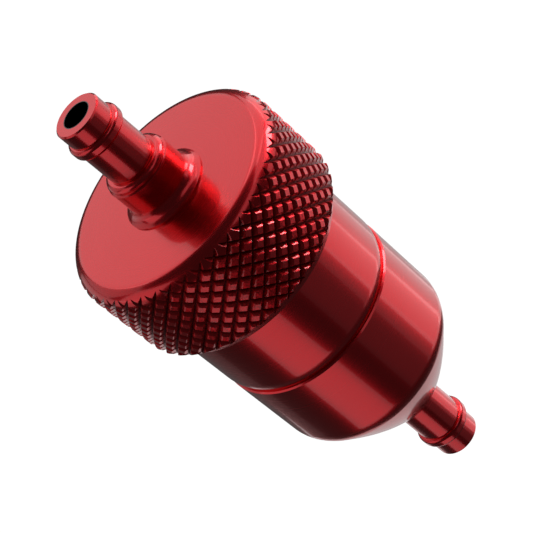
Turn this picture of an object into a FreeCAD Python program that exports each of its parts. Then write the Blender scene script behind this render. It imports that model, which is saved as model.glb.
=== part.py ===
"""Inline fuel filter with a knurled screw cap, 8 mm hose barbs and a washable sintered element.

The frame has +Z up the filter's axis, from the outlet to the inlet, and its origin at the centre of
the outlet barb's bead, where a hose holds it. All sizes are millimetres. The two screw threads are
drawn as plain cylinders with a running gap between them, and the diamond knurl as the plain cylinder
over its crests.
"""
import FreeCAD, Part
import math
import os

import Sketcher

# The driving dimensions. A "height" is measured up the axis from the outlet's end face.
DIMENSIONS = {
    # Hose barbs: one turned form, used at both ends.
    "barb_bore_radius": 1.95,
    "barb_tip_radius": 3.4,
    "barb_seat_radius": 3.5,
    "bead_radius": 4.0,
    "bead_land": 0.7,
    "bead_ramp": 0.5,
    "bead_tip_rounding": 0.6,
    "bead_seat_rounding": 0.55,
    "tip_edge": 0.2,
    "outlet_tip_length": 3.15,
    "inlet_tip_length": 2.6,
    # Bowl: the lower half of the housing, with the outlet barb turned on it.
    "outlet_root_height": 12.5,
    "outlet_root_radius": 4.7,
    "cone_rim_height": 23.1,
    "cone_rim_radius": 13.3,
    "cone_bulge": 50.0,
    "bowl_rounding_height": 25.2,
    "bowl_rounding": 4.3,
    "housing_radius": 13.85,
    "seam_height": 37.6,
    "seam_edge": 0.2,
    "funnel_foot_height": 18.0,
    "funnel_mouth_radius": 6.6,
    "seat_height": 27.0,
    "bowl_bore_radius": 10.3,
    "spigot_radius": 12.5,
    "spigot_top_height": 44.2,
    "spigot_edge": 0.4,
    "spigot_groove_height": 38.6,
    "spigot_groove_width": 1.8,
    "spigot_groove_radius": 11.2,
    # Barrel: the upper half of the housing, whose neck carries the cap.
    "thread_gap": 0.06,
    "barrel_foot_radius": 13.4,
    "barrel_rounding_height": 39.65,
    "barrel_rounding": 4.9,
    "spigot_end_gap": 0.4,
    "barrel_bore_radius": 11.2,
    "neck_groove_height": 51.4,
    "neck_groove_width": 1.9,
    "neck_groove_radius": 12.4,
    "neck_shoulder_height": 54.0,
    "neck_radius": 12.9,
    "neck_edge": 0.5,
    "neck_top_height": 60.8,
    # Cap: screws on the neck and is knurled round the outside.
    "cap_radius": 16.5,
    "cap_rim_height": 50.5,
    "cap_rim_edge": 1.45,
    "cap_rim_edge_height": 1.9,
    "cap_top_height": 65.6,
    "cap_edge_rounding": 2.4,
    "cap_mouth_radius": 14.0,
    "cap_ceiling_height": 61.5,
    "nipple_hole_radius": 4.4,
    # Inlet nipple: pressed through the cap, with its flared foot standing on the flat top.
    "press_gap": 0.01,
    "nipple_foot_height": 59.1,
    "nipple_foot_edge": 0.4,
    "flare_radius": 6.05,
    "flare_edge": 0.2,
    "flare_top_height": 67.3,
    "flare_rounding": 1.7,
    "hub_radius": 4.75,
    "hub_top_height": 70.95,
    "hub_groove": 0.15,
    "collar_radius": 4.55,
    "collar_length": 0.3,
    "collar_rounding": 0.9,
    "inlet_root_height": 71.9,
    "overall_length": 81.9,
    # Filter element with its gasket, spring and thrust washer.
    "gasket_thickness": 1.0,
    "gasket_inner_radius": 6.9,
    "gasket_outer_radius": 9.9,
    "element_flange_radius": 9.7,
    "element_flange_thickness": 2.0,
    "element_radius": 8.0,
    "element_bore_radius": 5.8,
    "element_bore_top_height": 47.8,
    "element_top_height": 50.0,
    "element_top_rounding": 1.2,
    "element_boss_radius": 4.4,
    "element_boss_height": 2.0,
    "spring_wire_radius": 0.5,
    "spring_radius": 5.7,
    "spring_coils": 4.5,
    "washer_thickness": 0.8,
    "washer_inner_radius": 4.8,
    "washer_outer_radius": 8.2,
    "washer_gap": 0.1,
    # O-rings, drawn at the section that their grooves squeeze them to.
    "barrel_oring_section": 0.66,
    "barrel_oring_radius": 11.88,
    "cap_oring_section": 0.75,
    "cap_oring_radius": 13.18,
}

SHEET = "Sizes"
FULL_TURN = 360.0
WIRE_SEAM = 37.0  # keeps the spring wire's seam line clear of its ground ends


def value_of(total):
    """The number that a sum of aliases, such as "seat_height + gasket_thickness", comes to."""
    number = 0.0
    sign = 1.0
    for token in total.split():
        if token in ("+", "-"):
            sign = 1.0 if token == "+" else -1.0
        else:
            number += sign * DIMENSIONS[token]
    return number


def bound(total):
    """The same sum as an expression on the sheet of sizes."""
    return " ".join(t if t in ("+", "-") else f"{SHEET}.{t}" for t in total.split())


def set_down(node, height="0"):
    """Places a node whose own zero is at this height above the outlet's end face."""
    bead_centre = f"{bound('outlet_tip_length + bead_ramp')} + {bound('bead_land')} / 2"
    node.setExpression("Placement.Base.z", f"{height} - ({bead_centre})")


def axis_plane(body):
    """The body's own XZ plane, in which every turned profile lies."""
    return next(o for o in body.Origin.OriginFeatures if o.Role == "XZ_Plane")


def arc_between(start, end, radius, left):
    """The shorter arc between two points, with its centre to the left or the right of the way."""
    chord = end - start
    across = FreeCAD.Vector(-chord.y, chord.x, 0).normalize()
    reach = math.sqrt(max(radius * radius - chord.Length ** 2 / 4, 0.0))
    centre = (start + end) * 0.5 + across * (reach if left else -reach)
    first, last = (start, end) if left else (end, start)
    angles = [math.atan2(p.y - centre.y, p.x - centre.x) for p in (first, last)]
    if angles[1] < angles[0]:
        angles[1] += 2 * math.pi
    circle = Part.Circle(centre, FreeCAD.Vector(0, 0, 1), radius)
    return Part.ArcOfCircle(circle, *angles)


def draw_profile(body, name, corners):
    """A closed profile sketch. A corner is (radius, height) or, where the edge that leaves it is an arc,
    (radius, height, arc radius, "left" or "right"), all of them sums of aliases."""
    sketch = body.newObject("Sketcher::SketchObject", name)
    sketch.AttachmentSupport = [(axis_plane(body), "")]
    sketch.MapMode = "FlatFace"
    points = [FreeCAD.Vector(value_of(c[0]), value_of(c[1]), 0) for c in corners]
    ends = []
    for index, corner in enumerate(corners):
        start = points[index]
        end = points[(index + 1) % len(points)]
        if len(corner) == 2:
            geometry = sketch.addGeometry(Part.LineSegment(start, end), False)
            ends.append((geometry, 1, 2))
            continue
        left = corner[3] == "left"
        arc = arc_between(start, end, value_of(corner[2]), left)
        geometry = sketch.addGeometry(arc, False)
        ends.append((geometry, 1, 2) if left else (geometry, 2, 1))
    for index, (geometry, _, last) in enumerate(ends):
        following, first, _ = ends[(index + 1) % len(ends)]
        sketch.addConstraint(Sketcher.Constraint("Coincident", geometry, last, following, first))
    for corner, (geometry, first, _) in zip(corners, ends):
        radius, height = corner[:2]
        bind(sketch, "DistanceX", (-1, 1, geometry, first), radius)
        bind(sketch, "DistanceY", (-1, 1, geometry, first), height)
        if len(corner) == 4:
            bind(sketch, "Radius", (geometry,), corner[2])
    return sketch


def bind(sketch, kind, where, total):
    """A sketch constraint whose size comes from the sheet. A size of nought is a point on an axis."""
    if not total:
        axis = -2 if kind == "DistanceX" else -1
        sketch.addConstraint(Sketcher.Constraint("PointOnObject", *where[2:], axis))
        return
    index = sketch.addConstraint(Sketcher.Constraint(kind, *where, value_of(total)))
    sketch.setExpression(f"Constraints[{index}]", bound(total))


def new_body(label):
    body = doc.addObject("PartDesign::Body", label)
    body.Label = label
    set_down(body)
    return body


def turn(label, corners):
    """A body turned about the axis from one closed profile."""
    body = new_body(label)
    sketch = draw_profile(body, f"{label}_profile", corners)
    doc.recompute()
    turned = body.newObject("PartDesign::Revolution", f"{label}_turned")
    turned.Profile = sketch
    turned.ReferenceAxis = (sketch, ["V_Axis"])
    turned.Angle = FULL_TURN
    sketch.Visibility = False
    doc.recompute()
    return body


def groove(body, name, corners):
    """A groove turned in a body, from one closed profile."""
    sketch = draw_profile(body, f"{name}_profile", corners)
    doc.recompute()
    cut = body.newObject("PartDesign::Groove", name)
    cut.Profile = sketch
    cut.ReferenceAxis = (sketch, ["V_Axis"])
    cut.Angle = FULL_TURN
    sketch.Visibility = False
    doc.recompute()
    return cut


def rectangle(inner, outer, low, high):
    """The corners of a plain ring's section."""
    return [(inner, low), (outer, low), (outer, high), (inner, high)]


def make_bowl():
    """The bowl, from the outlet's bore round the outside and back down the inside."""
    tip = "outlet_tip_length"
    crest_low = tip + " + bead_ramp"
    crest_high = crest_low + " + bead_land"
    bead_high = crest_high + " + bead_ramp"
    outside = [
        ("barb_bore_radius", ""),
        ("barb_tip_radius - tip_edge", ""),
        ("barb_tip_radius", "tip_edge"),
        ("barb_tip_radius", tip, "bead_tip_rounding", "left"),
        ("bead_radius", crest_low),
        ("bead_radius", crest_high, "bead_seat_rounding", "left"),
        ("barb_seat_radius", bead_high),
        ("barb_seat_radius", "outlet_root_height - bead_ramp"),
        ("outlet_root_radius", "outlet_root_height", "cone_bulge", "left"),
        ("cone_rim_radius", "cone_rim_height", "bowl_rounding", "left"),
        ("housing_radius", "bowl_rounding_height"),
        ("housing_radius", "seam_height - seam_edge"),
        ("housing_radius - seam_edge", "seam_height"),
        ("spigot_radius", "seam_height"),
    ]
    inside = [
        ("spigot_radius", "spigot_top_height - spigot_edge"),
        ("spigot_radius - spigot_edge", "spigot_top_height"),
        ("bowl_bore_radius", "spigot_top_height"),
        ("bowl_bore_radius", "seat_height"),
        ("funnel_mouth_radius", "seat_height"),
        ("barb_bore_radius", "funnel_foot_height"),
    ]
    body = turn("bowl", outside + inside)
    groove_top = "spigot_groove_height + spigot_groove_width"
    corners = rectangle("spigot_groove_radius", "housing_radius", "spigot_groove_height", groove_top)
    groove(body, "spigot_groove", corners)
    return body


def make_barrel():
    """The barrel: screwed over the bowl's spigot below, and necked for the cap above."""
    socket = "spigot_radius + thread_gap"
    socket_top = "spigot_top_height + spigot_end_gap"
    body = turn("barrel", [
        (socket, "seam_height"),
        ("barrel_foot_radius", "seam_height", "barrel_rounding", "left"),
        ("housing_radius", "barrel_rounding_height"),
        ("housing_radius", "neck_shoulder_height"),
        ("neck_radius", "neck_shoulder_height"),
        ("neck_radius", "neck_top_height - neck_edge"),
        ("neck_radius - neck_edge", "neck_top_height"),
        ("barrel_bore_radius", "neck_top_height"),
        ("barrel_bore_radius", socket_top),
        (socket, socket_top),
    ])
    groove_top = "neck_groove_height + neck_groove_width"
    corners = rectangle("neck_groove_radius", "cap_radius", "neck_groove_height", groove_top)
    groove(body, "neck_groove", corners)
    return body


def make_cap():
    """The cap: an inside thread over the neck, and below it a smooth mouth over the barrel's O-ring."""
    thread = "neck_radius + thread_gap"
    edge_height = "cap_top_height - cap_edge_rounding"
    edge_radius = "cap_radius - cap_edge_rounding"
    return turn("knurled_cap", [
        ("cap_mouth_radius", "cap_rim_height"),
        ("cap_radius - cap_rim_edge", "cap_rim_height"),
        ("cap_radius", "cap_rim_height + cap_rim_edge_height"),
        ("cap_radius", edge_height, "cap_edge_rounding", "left"),
        (edge_radius, "cap_top_height"),
        ("nipple_hole_radius", "cap_top_height"),
        ("nipple_hole_radius", "cap_ceiling_height"),
        (thread, "cap_ceiling_height"),
        (thread, "neck_shoulder_height"),
        ("cap_mouth_radius", "neck_shoulder_height"),
    ])


def make_inlet_nipple():
    """The inlet nipple: shank, flared foot, hub with its grooved collar, hose seat, bead and tip."""
    shank = "nipple_hole_radius - press_gap"
    tip_low = "overall_length - inlet_tip_length"
    crest_high = tip_low + " - bead_ramp"
    crest_low = crest_high + " - bead_land"
    bead_low = crest_low + " - bead_ramp"
    collar_low = "hub_top_height + hub_groove"
    collar_high = collar_low + " + collar_length"
    return turn("inlet_nipple", [
        ("barb_bore_radius", "nipple_foot_height"),
        (shank + " - nipple_foot_edge", "nipple_foot_height"),
        (shank, "nipple_foot_height + nipple_foot_edge"),
        (shank, "cap_top_height"),
        ("flare_radius", "cap_top_height"),
        ("flare_radius", "cap_top_height + flare_edge", "flare_rounding", "right"),
        ("hub_radius", "flare_top_height"),
        ("hub_radius", "hub_top_height - hub_groove"),
        ("hub_radius - hub_groove - hub_groove", "hub_top_height"),
        ("collar_radius", collar_low),
        ("collar_radius", collar_high, "collar_rounding", "left"),
        ("barb_seat_radius", "inlet_root_height"),
        ("barb_seat_radius", bead_low, "bead_seat_rounding", "left"),
        ("bead_radius", crest_low),
        ("bead_radius", crest_high, "bead_tip_rounding", "left"),
        ("barb_tip_radius", tip_low),
        ("barb_tip_radius", "overall_length - tip_edge"),
        ("barb_tip_radius - tip_edge", "overall_length"),
        ("barb_bore_radius", "overall_length"),
    ])


def make_element():
    """The sintered thimble: a flange below, closed above, with a boss that centres the spring."""
    foot = "seat_height + gasket_thickness"
    flange_top = foot + " + element_flange_thickness"
    boss_top = "element_top_height + element_boss_height"
    edge_low = "element_top_height - element_top_rounding"
    edge_in = "element_radius - element_top_rounding"
    return turn("filter_element", [
        ("element_bore_radius", foot),
        ("element_flange_radius", foot),
        ("element_flange_radius", flange_top),
        ("element_radius", flange_top),
        ("element_radius", edge_low, "element_top_rounding", "left"),
        (edge_in, "element_top_height"),
        ("element_boss_radius", "element_top_height"),
        ("element_boss_radius", boss_top),
        ("", boss_top),
        ("", "element_bore_top_height"),
        ("element_bore_radius", "element_bore_top_height"),
    ])


def make_gasket():
    top = "seat_height + gasket_thickness"
    corners = rectangle("gasket_inner_radius", "gasket_outer_radius", "seat_height", top)
    return turn("element_gasket", corners)


def make_washer():
    """The thrust washer, on which the cap turns without winding up the spring."""
    top = "cap_ceiling_height - washer_gap"
    low = top + " - washer_thickness"
    corners = rectangle("washer_inner_radius", "washer_outer_radius", low, top)
    return turn("thrust_washer", corners)


def make_oring(label, section, radius, groove_height, groove_width):
    """An O-ring, halfway up its groove."""
    ring = doc.addObject("Part::Torus", label)
    ring.Label = label
    ring.setExpression("Radius1", bound(radius))
    ring.setExpression("Radius2", bound(section))
    middle = f"{bound(groove_height)} + {bound(groove_width)} / 2"
    set_down(ring, middle)
    return ring


def make_spring():
    """The compression spring: a helix whose two ends are ground flat."""
    foot = "element_top_height"
    head = "cap_ceiling_height - washer_gap - washer_thickness"
    height = f"{bound(head)} - {bound(foot)}"
    helix = doc.addObject("Part::Helix", "spring_helix")
    helix.setExpression("Height", height)
    helix.setExpression("Pitch", f"({height}) / {bound('spring_coils')}")
    helix.setExpression("Radius", bound("spring_radius"))
    helix.setExpression("Placement.Base.z", bound(foot))
    wire = doc.addObject("Part::Circle", "spring_wire")
    wire.setExpression("Radius", bound("spring_wire_radius"))
    upright = FreeCAD.Rotation(FreeCAD.Vector(1, 0, 0), 90)
    wire.Placement.Rotation = upright * FreeCAD.Rotation(FreeCAD.Vector(0, 0, 1), WIRE_SEAM)
    wire.setExpression("Placement.Base.x", bound("spring_radius"))
    wire.setExpression("Placement.Base.z", bound(foot))
    doc.recompute()
    coil = doc.addObject("Part::Sweep", "spring_coil")
    coil.Sections = [wire]
    coil.Spine = (helix, [f"Edge{n + 1}" for n in range(len(helix.Shape.Edges))])
    coil.Solid = True
    coil.Frenet = True
    room = doc.addObject("Part::Cylinder", "spring_room")
    room.setExpression("Radius", bound("barrel_bore_radius"))
    room.setExpression("Height", height)
    room.setExpression("Placement.Base.z", bound(foot))
    doc.recompute()
    spring = doc.addObject("Part::Common", "element_spring")
    spring.Label = "element_spring"
    spring.Base = coil
    spring.Tool = room
    set_down(spring)
    return spring


def faults(node):
    """What is wrong with a node, as a list of words."""
    found = [word for word in ("Invalid", "Error") if word in node.State]
    if node.Shape.isNull():
        return found + ["null shape"]
    if not node.Shape.isValid():
        found.append("invalid shape")
    if len(node.Shape.Solids) != 1:
        found.append(f"{len(node.Shape.Solids)} solids")
    return found


doc = FreeCAD.newDocument("fuel_filter")
sheet = doc.addObject("Spreadsheet::Sheet", SHEET)
for row, (alias, number) in enumerate(DIMENSIONS.items(), start=1):
    sheet.set(f"A{row}", alias)
    sheet.set(f"B{row}", str(number))
    sheet.setAlias(f"B{row}", alias)
doc.recompute()

nodes = [
    make_bowl(),
    make_barrel(),
    make_cap(),
    make_inlet_nipple(),
    make_element(),
    make_gasket(),
    make_spring(),
    make_washer(),
    make_oring(
        "barrel_oring",
        "barrel_oring_section",
        "barrel_oring_radius",
        "spigot_groove_height",
        "spigot_groove_width",
    ),
    make_oring(
        "cap_oring",
        "cap_oring_section",
        "cap_oring_radius",
        "neck_groove_height",
        "neck_groove_width",
    ),
]
doc.recompute()

os.makedirs("parts", exist_ok=True)
for node in nodes:
    wrong = faults(node)
    if wrong:
        raise RuntimeError(f"{node.Label}: {', '.join(wrong)}")
    node.Shape.exportStep(f"parts/{node.Label}.step")
    box = node.Shape.BoundBox
    print(f"{node.Label}: z {box.ZMin:.2f} to {box.ZMax:.2f}, {node.Shape.Volume:.0f} mm3")
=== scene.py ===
"""Red anodised inline fuel filter: knurled cap and threaded barrel, finishes, studio and camera."""

import math

import bmesh
import bpy
from mathutils import Euler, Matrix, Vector


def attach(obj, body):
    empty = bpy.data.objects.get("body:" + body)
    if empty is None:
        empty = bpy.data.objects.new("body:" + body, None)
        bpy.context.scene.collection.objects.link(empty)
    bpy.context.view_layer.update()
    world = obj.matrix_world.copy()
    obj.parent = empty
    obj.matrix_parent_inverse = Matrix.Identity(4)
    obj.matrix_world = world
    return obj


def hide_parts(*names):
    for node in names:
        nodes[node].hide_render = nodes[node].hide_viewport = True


MM = 0.001

# Heights are millimetres above the outlet's bead, and radii are from the filter's axis.
# Cap: a flat top with a rounded edge, a chamfered rim, a smooth mouth and a threaded well.
CAP_RADIUS = 16.5
CAP_RIM = 46.5
CAP_TOP = 61.6
CAP_EDGE = 2.4
RIM_EDGE = 1.45
RIM_EDGE_HEIGHT = 1.9
MOUTH_RADIUS = 14.0
MOUTH_TOP = 50.0
THREAD_RADIUS = 12.96
CEILING = 57.5
NIPPLE_HOLE = 4.4

# Barrel: its socket, the housing's diameter, the O-ring groove and the threaded neck.
SOCKET_RADIUS = 12.56
SOCKET_TOP = 40.6
SEAM = 33.6
FOOT_RADIUS = 13.4
FOOT_ROUNDING = 4.9
FOOT_TOP = 35.65
HOUSING_RADIUS = 13.85
GROOVE_RADIUS = 12.4
GROOVE_LOW = 47.4
GROOVE_HIGH = 49.3
NECK_RADIUS = 12.9
NECK_EDGE = 0.5
NECK_TOP = 56.8
BARREL_BORE = 11.2

# The cap's screw thread, on the barrel's neck and inside the cap. Its flats' width is in pitches.
THREAD_PITCH = 1.0
THREAD_DEPTH = 0.45
THREAD_FLAT = 1 / 6
THREAD_FADE = 0.8
THREAD_ROWS = 10

# Diamond knurl: two families of grooves that cross. Widths are in pitches.
KNURL_STARTS = 42
KNURL_PITCH = 2.37
KNURL_DEPTH = 0.7
GROOVE_HALF = 0.25
GROOVE_SOFTENING = 0.03

# How finely the turned forms are cut up, and the turn in degrees that makes a visible edge.
CAP_STEPS = KNURL_STARTS * 8
BARREL_STEPS = 256
CAP_EDGE_STEPS = 24
FOOT_STEPS = 8
CREASE = 24

# Anodising: two depths of dye, and a painted shade colour that darkens the drilled bores and the
# knurl's grooves.
RED = (0.80, 0.014, 0.023)
RED_DEEP = (0.74, 0.011, 0.019)
PAINTED_SHADE_RED = (0.03, 0.002, 0.003)
TURNED_ROUGHNESS = 0.26
KNURL_ROUGHNESS = 0.36
GLOSS_SPREAD = 0.15
COAT_ROUGHNESS = 0.09
COAT_IOR = 1.45
# radii in millimetres inside which painted shade darkens the bores and the knurl's grooves
BORE_RADIUS = 2.05
BORE_BLEND = 0.01
KNURL_SHADE_RADIUS = CAP_RADIUS - KNURL_DEPTH - 0.2
KNURL_FULL_RADIUS = CAP_RADIUS - 0.1

# Textures: noise scales are per metre, and relief heights are metres.
LINE_SCALE = 9000.0
LINE_DETAIL = 2.0
LINE_BUMP = 0.02
LINE_HEIGHT = 0.00001
PIT_SCALE = 2600.0
PIT_DETAIL = 3.0
PIT_HEIGHT = 0.0001
KNURL_PIT_BUMP = 0.6
CLOUD_SCALE = 160.0
CLOUD_DETAIL = 3.0
GRAIN_DETAIL = 3.0
GRAIN_BUMP = 0.6

BRONZE = (0.42, 0.24, 0.1)
STEEL = (0.56, 0.56, 0.55)
RUBBER = (0.012, 0.012, 0.013)

# Studio: a glowing floor and dome behind the part, in metres, and soft cards round it.
PART_CENTRE = Vector((0, 0, 0.04))
FLOOR_HALF = 6.0
FLOOR_LEVEL = -1.2
DOME_RADIUS = 5.0
PALE = 0.9
BACKDROP_ROUGHNESS = 0.9
BACKDROP_GLOW = 1.0
WORLD_GREY = 0.035
CARD_DISTANCE = 0.9
KEY_DISTANCE = 0.6

# Each card's azimuth, elevation, width and height in degrees, then its radiance. The key stands
# nearer than the rest, so that none of them hides it.
CARDS = {
    "wall_right": (100, 38, 42, 42, 0.72),
    "wall_back_right": (140, 38, 42, 42, 0.92),
    "wall_back": (180, 37, 42, 38, 0.78),
    "wall_back_left": (-142, 35, 36, 32, 0.4),
    "upper_left": (-95, 33, 44, 36, 0.55),
    "side_left": (-120, 6, 70, 24, 0.4),
    "side_right": (88, 2, 40, 26, 0.62),
    "side_back_right": (128, 6, 40, 30, 1.1),
    "upper_right": (46, 50, 50, 20, 0.4),
    "low_right_front": (58, -35, 20, 32, 0.24),
    "low_right": (85, -35, 40, 32, 0.85),
    "low_right_back": (122, -35, 38, 32, 0.72),
    "low_back": (163, -36, 46, 30, 0.42),
    "low_left_back": (-150, -35, 60, 32, 0.05),
    "low_left": (-46, -35, 44, 32, 0.55),
    "low_front": (28, -35, 36, 32, 0.07),
    "bounce": (-172, -62, 90, 36, 0.5),
    "key": (101, 19, 22, 22, 6.5, KEY_DISTANCE),
}

# Camera: its place in millimetres, its tilt down and its roll in degrees, and its lens.
CAMERA_PLACE = Vector((0.80, -194.21, 182.01))
CAMERA_ELEVATION = 35.82
CAMERA_ROLL = -49.93
CAMERA_LENS = 122.75
CAMERA_SENSOR = 36.0
CAMERA_NEAR = 0.01
CAMERA_FAR = 20.0


def turned_mesh(name, profile, segments, thread):
    """A closed mesh turned about Z from a closed profile of (radius, height) in millimetres.

    The thread is (radius, lower end, upper end, depth) and is cut where the profile follows it."""
    mesh = bmesh.new()
    rings = []
    for step in range(segments):
        turn = 2 * math.pi * step / segments
        across = Vector((math.cos(turn), math.sin(turn), 0))
        ring = []
        for r, z in profile:
            if r == thread[0]:
                r += thread_cut(z, step / segments, *thread[1:])
            ring.append(mesh.verts.new((across * r + Vector((0, 0, z))) * MM))
        rings.append(ring)
    for step in range(segments):
        here, there = rings[step], rings[(step + 1) % segments]
        for index in range(len(profile)):
            after = (index + 1) % len(profile)
            mesh.faces.new((here[index], there[index], there[after], here[after]))
    return finished(mesh, name)


def finished(mesh, name):
    """The bmesh as a linked object, its faces pointing outwards."""
    bmesh.ops.recalc_face_normals(mesh, faces=mesh.faces)
    data = bpy.data.meshes.new(name)
    mesh.to_mesh(data)
    mesh.free()
    obj = bpy.data.objects.new(name, data)
    bpy.context.scene.collection.objects.link(obj)
    return obj


def thread_cut(height, turn, low, high, depth):
    """How far a right-handed thread moves the surface at this height and share of a turn."""
    from_root = abs(2 * ((height / THREAD_PITCH - turn) % 1.0) - 1)
    flank = min(1.0, max(0.0, (1 - THREAD_FLAT - from_root) / (1 - 2 * THREAD_FLAT)))
    fade = min(1.0, max(0.0, min(height - low, high - height) / THREAD_FADE))
    return depth * flank * fade


def thread_rows(radius, start, end):
    """The profile's points along a thread, close enough together to shape its flanks."""
    count = round(abs(end - start) / THREAD_PITCH * THREAD_ROWS)
    return [(radius, start + (end - start) * n / count) for n in range(count + 1)]


def arc(centre_r, centre_z, radius, start, end, steps):
    """Points on an arc of a profile, by angle in degrees from straight out."""
    turns = [math.radians(start + (end - start) * n / steps) for n in range(steps + 1)]
    return [(centre_r + radius * math.cos(t), centre_z + radius * math.sin(t)) for t in turns]


def groove_depth(place):
    """How deep one family's groove is at this place across it, in pitches."""
    return KNURL_DEPTH * max(0.0, 1.0 - abs(place - round(place)) / GROOVE_HALF)


def knurled_core(low, high):
    """A closed solid with the diamond knurl all round it, from below low to above high.

    Its vertices follow the grooves: a and b count the pitches across the two families."""
    # across one pitch: a groove's bottom, its softened edge, the flat's middle, the next edge
    cuts = [0.0, GROOVE_HALF - GROOVE_SOFTENING, GROOVE_HALF + GROOVE_SOFTENING, 0.5]
    cuts += [1.0 - GROOVE_HALF - GROOVE_SOFTENING, 1.0 - GROOVE_HALF + GROOVE_SOFTENING]
    count = len(cuts)
    mesh = bmesh.new()
    found = {}

    def vertex(i, j):
        turn = (i // count + j // count) // (2 * KNURL_STARTS)
        key = (i - turn * KNURL_STARTS * count, j - turn * KNURL_STARTS * count)
        if key not in found:
            a = i // count + cuts[i % count]
            b = j // count + cuts[j % count]
            depth = max(groove_depth(a), groove_depth(b))
            angle = math.pi * (a + b) / KNURL_STARTS
            height = (low + high) / 2 + KNURL_PITCH * (a - b) / 2
            radius = CAP_RADIUS - depth
            place = Vector((radius * math.cos(angle), radius * math.sin(angle), height))
            found[key] = mesh.verts.new(place * MM)
        return found[key]

    reach = math.ceil((high - low) / 2 / KNURL_PITCH) + 1
    for total in range(2 * KNURL_STARTS):
        for difference in range(-2 * reach, 2 * reach + 1):
            if (total + difference) % 2:
                continue
            add_diamond(mesh, vertex, count, (total + difference) // 2, (total - difference) // 2)
    for edges in open_loops(mesh):
        middle = sum((v.co.z for e in edges for v in e.verts)) / (2 * len(edges))
        centre = mesh.verts.new((0, 0, middle))
        for edge in edges:
            mesh.faces.new((*edge.verts, centre))
    return finished(mesh, "knurled_core")


def add_diamond(mesh, vertex, count, a, b):
    """One diamond's faces, each split so that a crease runs out of every crossing of two grooves."""
    half = count // 2
    for i in range(count):
        for j in range(count):
            left, low = a * count + i, b * count + j
            first, second = vertex(left, low), vertex(left + 1, low)
            third, fourth = vertex(left + 1, low + 1), vertex(left, low + 1)
            if (i < half) == (j < half):
                mesh.faces.new((first, second, third))
                mesh.faces.new((first, third, fourth))
            else:
                mesh.faces.new((first, second, fourth))
                mesh.faces.new((second, third, fourth))


def open_loops(mesh):
    """The open edges, as the lower loop and the upper."""
    edges = [e for e in mesh.edges if e.is_boundary]
    middle = sum(e.verts[0].co.z for e in edges) / len(edges)
    return [[e for e in edges if (e.verts[0].co.z > middle) == upper] for upper in (False, True)]


def knurled_cap():
    """The cap: the knurled core cut to the cap's turned form, inside and out."""
    spare = 0.1
    slope = RIM_EDGE_HEIGHT / RIM_EDGE
    profile = [
        (MOUTH_RADIUS, CAP_RIM),
        (CAP_RADIUS - RIM_EDGE, CAP_RIM),
        (CAP_RADIUS + spare, CAP_RIM + RIM_EDGE_HEIGHT + spare * slope),
        (CAP_RADIUS + spare, CAP_TOP - CAP_EDGE - spare),
    ]
    profile += arc(CAP_RADIUS - CAP_EDGE, CAP_TOP - CAP_EDGE, CAP_EDGE, 0, 90, CAP_EDGE_STEPS)
    profile += [
        (NIPPLE_HOLE, CAP_TOP),
        (NIPPLE_HOLE, CEILING),
        *thread_rows(THREAD_RADIUS, CEILING, MOUTH_TOP),
        (MOUTH_RADIUS, MOUTH_TOP),
    ]
    thread = (THREAD_RADIUS, MOUTH_TOP, CEILING, THREAD_DEPTH)
    cap = turned_mesh("cap_knurled_mesh", profile, CAP_STEPS, thread)
    core = knurled_core(CAP_RIM, CAP_TOP)
    cut = cap.modifiers.new("knurl", "BOOLEAN")
    cut.operation = "INTERSECT"
    cut.solver = "EXACT"
    cut.object = core
    shaped = bpy.data.meshes.new_from_object(cap.evaluated_get(bpy.context.evaluated_depsgraph_get()))
    cap.modifiers.clear()
    cap.data = shaped
    bpy.data.objects.remove(core)
    return cap


def is_knurled(place):
    """Whether the cap's face with this centre is the knurling tool's, not a turned one."""
    r = math.hypot(place.x, place.y) / MM
    z = place.z / MM
    near = 0.02
    above = z - (CAP_TOP - CAP_EDGE)
    if above > 0 and math.hypot(r - (CAP_RADIUS - CAP_EDGE), above) > CAP_EDGE - near:
        return False
    chamfer = CAP_RADIUS - RIM_EDGE * (1 - (z - CAP_RIM) / RIM_EDGE_HEIGHT)
    if abs(r - chamfer) < near:
        return False
    return r > CAP_RADIUS - KNURL_DEPTH - near and z > CAP_RIM + near


def threaded_barrel():
    """The barrel: rounded in at its foot, with an O-ring groove and a threaded neck above."""
    width = HOUSING_RADIUS - FOOT_RADIUS
    swing = math.degrees(2 * math.atan(width / (FOOT_TOP - SEAM)))
    profile = [(SOCKET_RADIUS, SEAM)]
    profile += arc(HOUSING_RADIUS - FOOT_ROUNDING, FOOT_TOP, FOOT_ROUNDING, -swing, 0, FOOT_STEPS)
    profile += [
        (HOUSING_RADIUS, GROOVE_LOW),
        (GROOVE_RADIUS, GROOVE_LOW),
        (GROOVE_RADIUS, GROOVE_HIGH),
        (HOUSING_RADIUS, GROOVE_HIGH),
        (HOUSING_RADIUS, MOUTH_TOP),
        *thread_rows(NECK_RADIUS, MOUTH_TOP, NECK_TOP - NECK_EDGE),
        (NECK_RADIUS - NECK_EDGE, NECK_TOP),
        (BARREL_BORE, NECK_TOP),
        (BARREL_BORE, SOCKET_TOP),
        (SOCKET_RADIUS, SOCKET_TOP),
    ]
    thread = (NECK_RADIUS, MOUTH_TOP, NECK_TOP, -THREAD_DEPTH)
    return turned_mesh("barrel_threaded_mesh", profile, BARREL_STEPS, thread)


def crisp(obj):
    """Smooth shading with an edge wherever two faces turn by more than the crease angle."""
    obj.data.shade_smooth()
    obj.data.set_sharp_from_angle(angle=math.radians(CREASE))


def new_material(name):
    """A new material, with its node tree and its shader."""
    material = bpy.data.materials.new(name)
    material.use_nodes = True
    return material, material.node_tree, material.node_tree.nodes["Principled BSDF"]


def vector_math(tree, operation, vector):
    """A vector operation on this vector."""
    made = tree.nodes.new("ShaderNodeVectorMath")
    made.operation = operation
    tree.links.new(vector, made.inputs[0])
    return made


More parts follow.
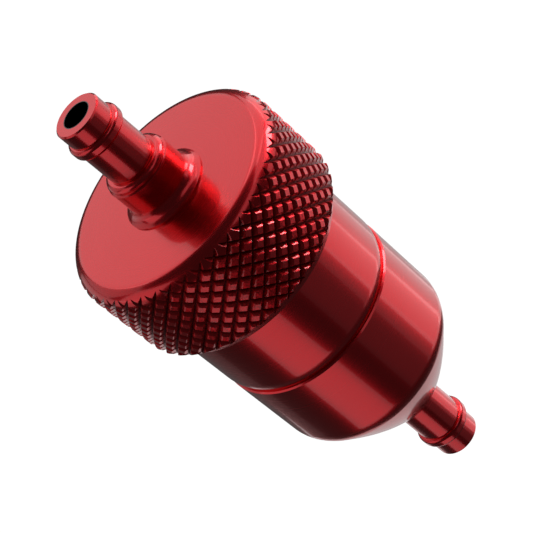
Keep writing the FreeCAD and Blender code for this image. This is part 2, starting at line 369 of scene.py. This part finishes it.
def noise(tree, vector, scale, detail):
    """A noise texture's value over this vector."""
    made = tree.nodes.new("ShaderNodeTexNoise")
    made.inputs["Scale"].default_value = scale
    made.inputs["Detail"].default_value = detail
    tree.links.new(vector, made.inputs["Vector"])
    return made.outputs["Fac"]


def relief(tree, height, strength, distance):
    """A bump over this height, with its distance in metres."""
    made = tree.nodes.new("ShaderNodeBump")
    made.inputs["Strength"].default_value = strength
    made.inputs["Distance"].default_value = distance
    tree.links.new(height, made.inputs["Height"])
    return made


def colour_mix(tree, factor, start):
    """A mix that starts from this colour, its other end still to be set."""
    made = tree.nodes.new("ShaderNodeMix")
    made.data_type = "RGBA"
    made.inputs["A"].default_value = (*start, 1)
    tree.links.new(factor, made.inputs["Factor"])
    return made


def anodised(name, roughness, pit_bump, dark_radius, full_radius):
    """Dyed and sealed anodising over turned aluminium, with fine turning lines round the axis.

    Pits are the torn, uneven surface that a knurling tool leaves. Inside the dark radius the colour
    is painted shade for the bores and the knurl's grooves, and it reaches its full colour at the
    other one, both in millimetres."""
    material, tree, shader = new_material(name)
    link = tree.links.new
    shader.inputs["Metallic"].default_value = 1.0
    shader.inputs["Coat Weight"].default_value = 1.0
    shader.inputs["Coat Roughness"].default_value = COAT_ROUGHNESS
    shader.inputs["Coat IOR"].default_value = COAT_IOR

    place = tree.nodes.new("ShaderNodeTexCoord").outputs["Object"]
    split = tree.nodes.new("ShaderNodeSeparateXYZ")
    link(place, split.inputs["Vector"])
    flat = vector_math(tree, "MULTIPLY", place)
    flat.inputs[1].default_value = (1, 1, 0)
    radius = vector_math(tree, "LENGTH", flat.outputs["Vector"]).outputs["Value"]

    # turning lines: noise that changes along the axis and along the radius, but not round the axis
    lines_at = tree.nodes.new("ShaderNodeCombineXYZ")
    link(radius, lines_at.inputs["X"])
    link(split.outputs["Z"], lines_at.inputs["Y"])
    lines = noise(tree, lines_at.outputs["Vector"], LINE_SCALE, LINE_DETAIL)
    line_relief = relief(tree, lines, LINE_BUMP, LINE_HEIGHT)
    pits = noise(tree, place, PIT_SCALE, PIT_DETAIL)
    pit_relief = relief(tree, pits, pit_bump, PIT_HEIGHT)
    link(line_relief.outputs["Normal"], pit_relief.inputs["Normal"])
    link(pit_relief.outputs["Normal"], shader.inputs["Normal"])

    # the dye's depth varies a little over the surface, and so does the gloss from line to line
    tint = colour_mix(tree, noise(tree, place, CLOUD_SCALE, CLOUD_DETAIL), RED_DEEP)
    tint.inputs["B"].default_value = (*RED, 1)
    # painted shade: towards the axis the colour darkens to the shade red, standing in for the shade
    # in the bores and the knurl's grooves
    depth = tree.nodes.new("ShaderNodeMapRange")
    depth.inputs["From Min"].default_value = dark_radius * MM
    depth.inputs["From Max"].default_value = full_radius * MM
    link(radius, depth.inputs["Value"])
    dye_with_painted_shade = colour_mix(tree, depth.outputs["Result"], PAINTED_SHADE_RED)
    link(tint.outputs["Result"], dye_with_painted_shade.inputs["B"])
    link(dye_with_painted_shade.outputs["Result"], shader.inputs["Base Color"])
    gloss = tree.nodes.new("ShaderNodeMapRange")
    gloss.inputs["To Min"].default_value = roughness * (1 - GLOSS_SPREAD)
    gloss.inputs["To Max"].default_value = roughness * (1 + GLOSS_SPREAD)
    link(lines, gloss.inputs["Value"])
    link(gloss.outputs["Result"], shader.inputs["Roughness"])
    return material


def grained(name, colour, metallic, roughness, grain, bump_height):
    """A hidden piece's material, with a fine grain over it."""
    material, tree, shader = new_material(name)
    shader.inputs["Base Color"].default_value = (*colour, 1)
    shader.inputs["Metallic"].default_value = metallic
    shader.inputs["Roughness"].default_value = roughness
    place = tree.nodes.new("ShaderNodeTexCoord").outputs["Object"]
    bump = relief(tree, noise(tree, place, grain, GRAIN_DETAIL), GRAIN_BUMP, bump_height)
    tree.links.new(bump.outputs["Normal"], shader.inputs["Normal"])
    return material


def paint(obj, material):
    """This material and no other on the object."""
    obj.data.materials.clear()
    obj.data.materials.append(material)


def card(name, azimuth, elevation, width, height, radiance, distance=CARD_DISTANCE):
    """A soft light that faces the part, with its place and its size in degrees.

    Azimuth is from -Y towards +X, and elevation is above level."""
    light = bpy.data.lights.new(name, "AREA")
    light.shape = "RECTANGLE"
    light.size = 2 * distance * math.tan(math.radians(width / 2)) * math.cos(math.radians(elevation))
    light.size_y = 2 * distance * math.tan(math.radians(height / 2))
    light.energy = radiance * math.pi * light.size * light.size_y
    lamp = bpy.data.objects.new(name, light)
    bpy.context.scene.collection.objects.link(lamp)
    a, e = math.radians(azimuth), math.radians(elevation)
    away = Vector((math.sin(a) * math.cos(e), -math.cos(a) * math.cos(e), math.sin(e)))
    lamp.location = PART_CENTRE + away * distance
    lamp.rotation_euler = away.to_track_quat("Z", "Y").to_euler()
    lamp.visible_camera = False


def backdrop(name, mesh):
    """A pale surface behind the part, seen by the camera but not mirrored in the part."""
    obj = finished(mesh, name)
    look, _, shader = new_material(name)
    shader.inputs["Base Color"].default_value = (PALE, PALE, PALE, 1)
    shader.inputs["Roughness"].default_value = BACKDROP_ROUGHNESS
    shader.inputs["Emission Color"].default_value = (1, 1, 1, 1)
    shader.inputs["Emission Strength"].default_value = BACKDROP_GLOW
    obj.data.materials.append(look)
    obj.visible_glossy = False
    obj.visible_diffuse = False
    obj.visible_shadow = False


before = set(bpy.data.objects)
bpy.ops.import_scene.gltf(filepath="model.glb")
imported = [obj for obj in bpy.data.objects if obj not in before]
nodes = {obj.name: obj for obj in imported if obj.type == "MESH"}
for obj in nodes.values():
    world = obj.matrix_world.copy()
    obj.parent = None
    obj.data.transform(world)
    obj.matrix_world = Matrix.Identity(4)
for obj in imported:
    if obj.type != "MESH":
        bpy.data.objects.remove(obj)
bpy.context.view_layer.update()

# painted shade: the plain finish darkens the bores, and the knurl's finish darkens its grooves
red = anodised("anodised_red", TURNED_ROUGHNESS, 0.0, BORE_RADIUS, BORE_RADIUS + BORE_BLEND)
knurl_red = anodised(
    "anodised_knurl", KNURL_ROUGHNESS, KNURL_PIT_BUMP, KNURL_SHADE_RADIUS, KNURL_FULL_RADIUS
)

cap = knurled_cap()
crisp(cap)
paint(cap, red)
cap.data.materials.append(knurl_red)
for face in cap.data.polygons:
    face.material_index = int(is_knurled(face.center))
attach(cap, "cap")
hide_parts("knurled_cap")

barrel = threaded_barrel()
crisp(barrel)
paint(barrel, red)
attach(barrel, "housing")
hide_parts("barrel")

for name in ("bowl", "inlet_nipple"):
    paint(nodes[name], red)
paint(nodes["filter_element"], grained("bronze", BRONZE, 1.0, 0.55, 9000.0, 0.0001))
steel = grained("steel", STEEL, 1.0, 0.3, 3000.0, 0.00001)
for name in ("element_spring", "thrust_washer"):
    paint(nodes[name], steel)
rubber = grained("rubber", RUBBER, 0.0, 0.5, 4000.0, 0.00002)
for name in ("element_gasket", "barrel_oring", "cap_oring"):
    paint(nodes[name], rubber)

floor = bmesh.new()
bmesh.ops.create_grid(floor, x_segments=1, y_segments=1, size=FLOOR_HALF)
bmesh.ops.translate(floor, verts=floor.verts, vec=(0, 0, FLOOR_LEVEL))
backdrop("pale_floor", floor)
dome = bmesh.new()
bmesh.ops.create_uvsphere(dome, u_segments=48, v_segments=24, radius=DOME_RADIUS)
backdrop("pale_dome", dome)

world = bpy.data.worlds.new("studio")
world.use_nodes = True
sky = world.node_tree.nodes["Background"]
sky.inputs["Color"].default_value = (WORLD_GREY, WORLD_GREY, WORLD_GREY, 1)
bpy.context.scene.world = world

for name, values in CARDS.items():
    card(name, *values)

camera_data = bpy.data.cameras.new("camera")
camera_data.lens = CAMERA_LENS
camera_data.sensor_width = CAMERA_SENSOR
camera_data.clip_start = CAMERA_NEAR
camera_data.clip_end = CAMERA_FAR
camera = bpy.data.objects.new("camera", camera_data)
bpy.context.scene.collection.objects.link(camera)
camera.location = CAMERA_PLACE * MM
level_view = Euler((math.radians(90 - CAMERA_ELEVATION), 0, 0)).to_matrix()
camera.rotation_euler = (level_view @ Euler((0, 0, math.radians(CAMERA_ROLL))).to_matrix()).to_euler()
bpy.context.scene.camera = camera
bpy.context.scene.view_settings.view_transform = "Standard"
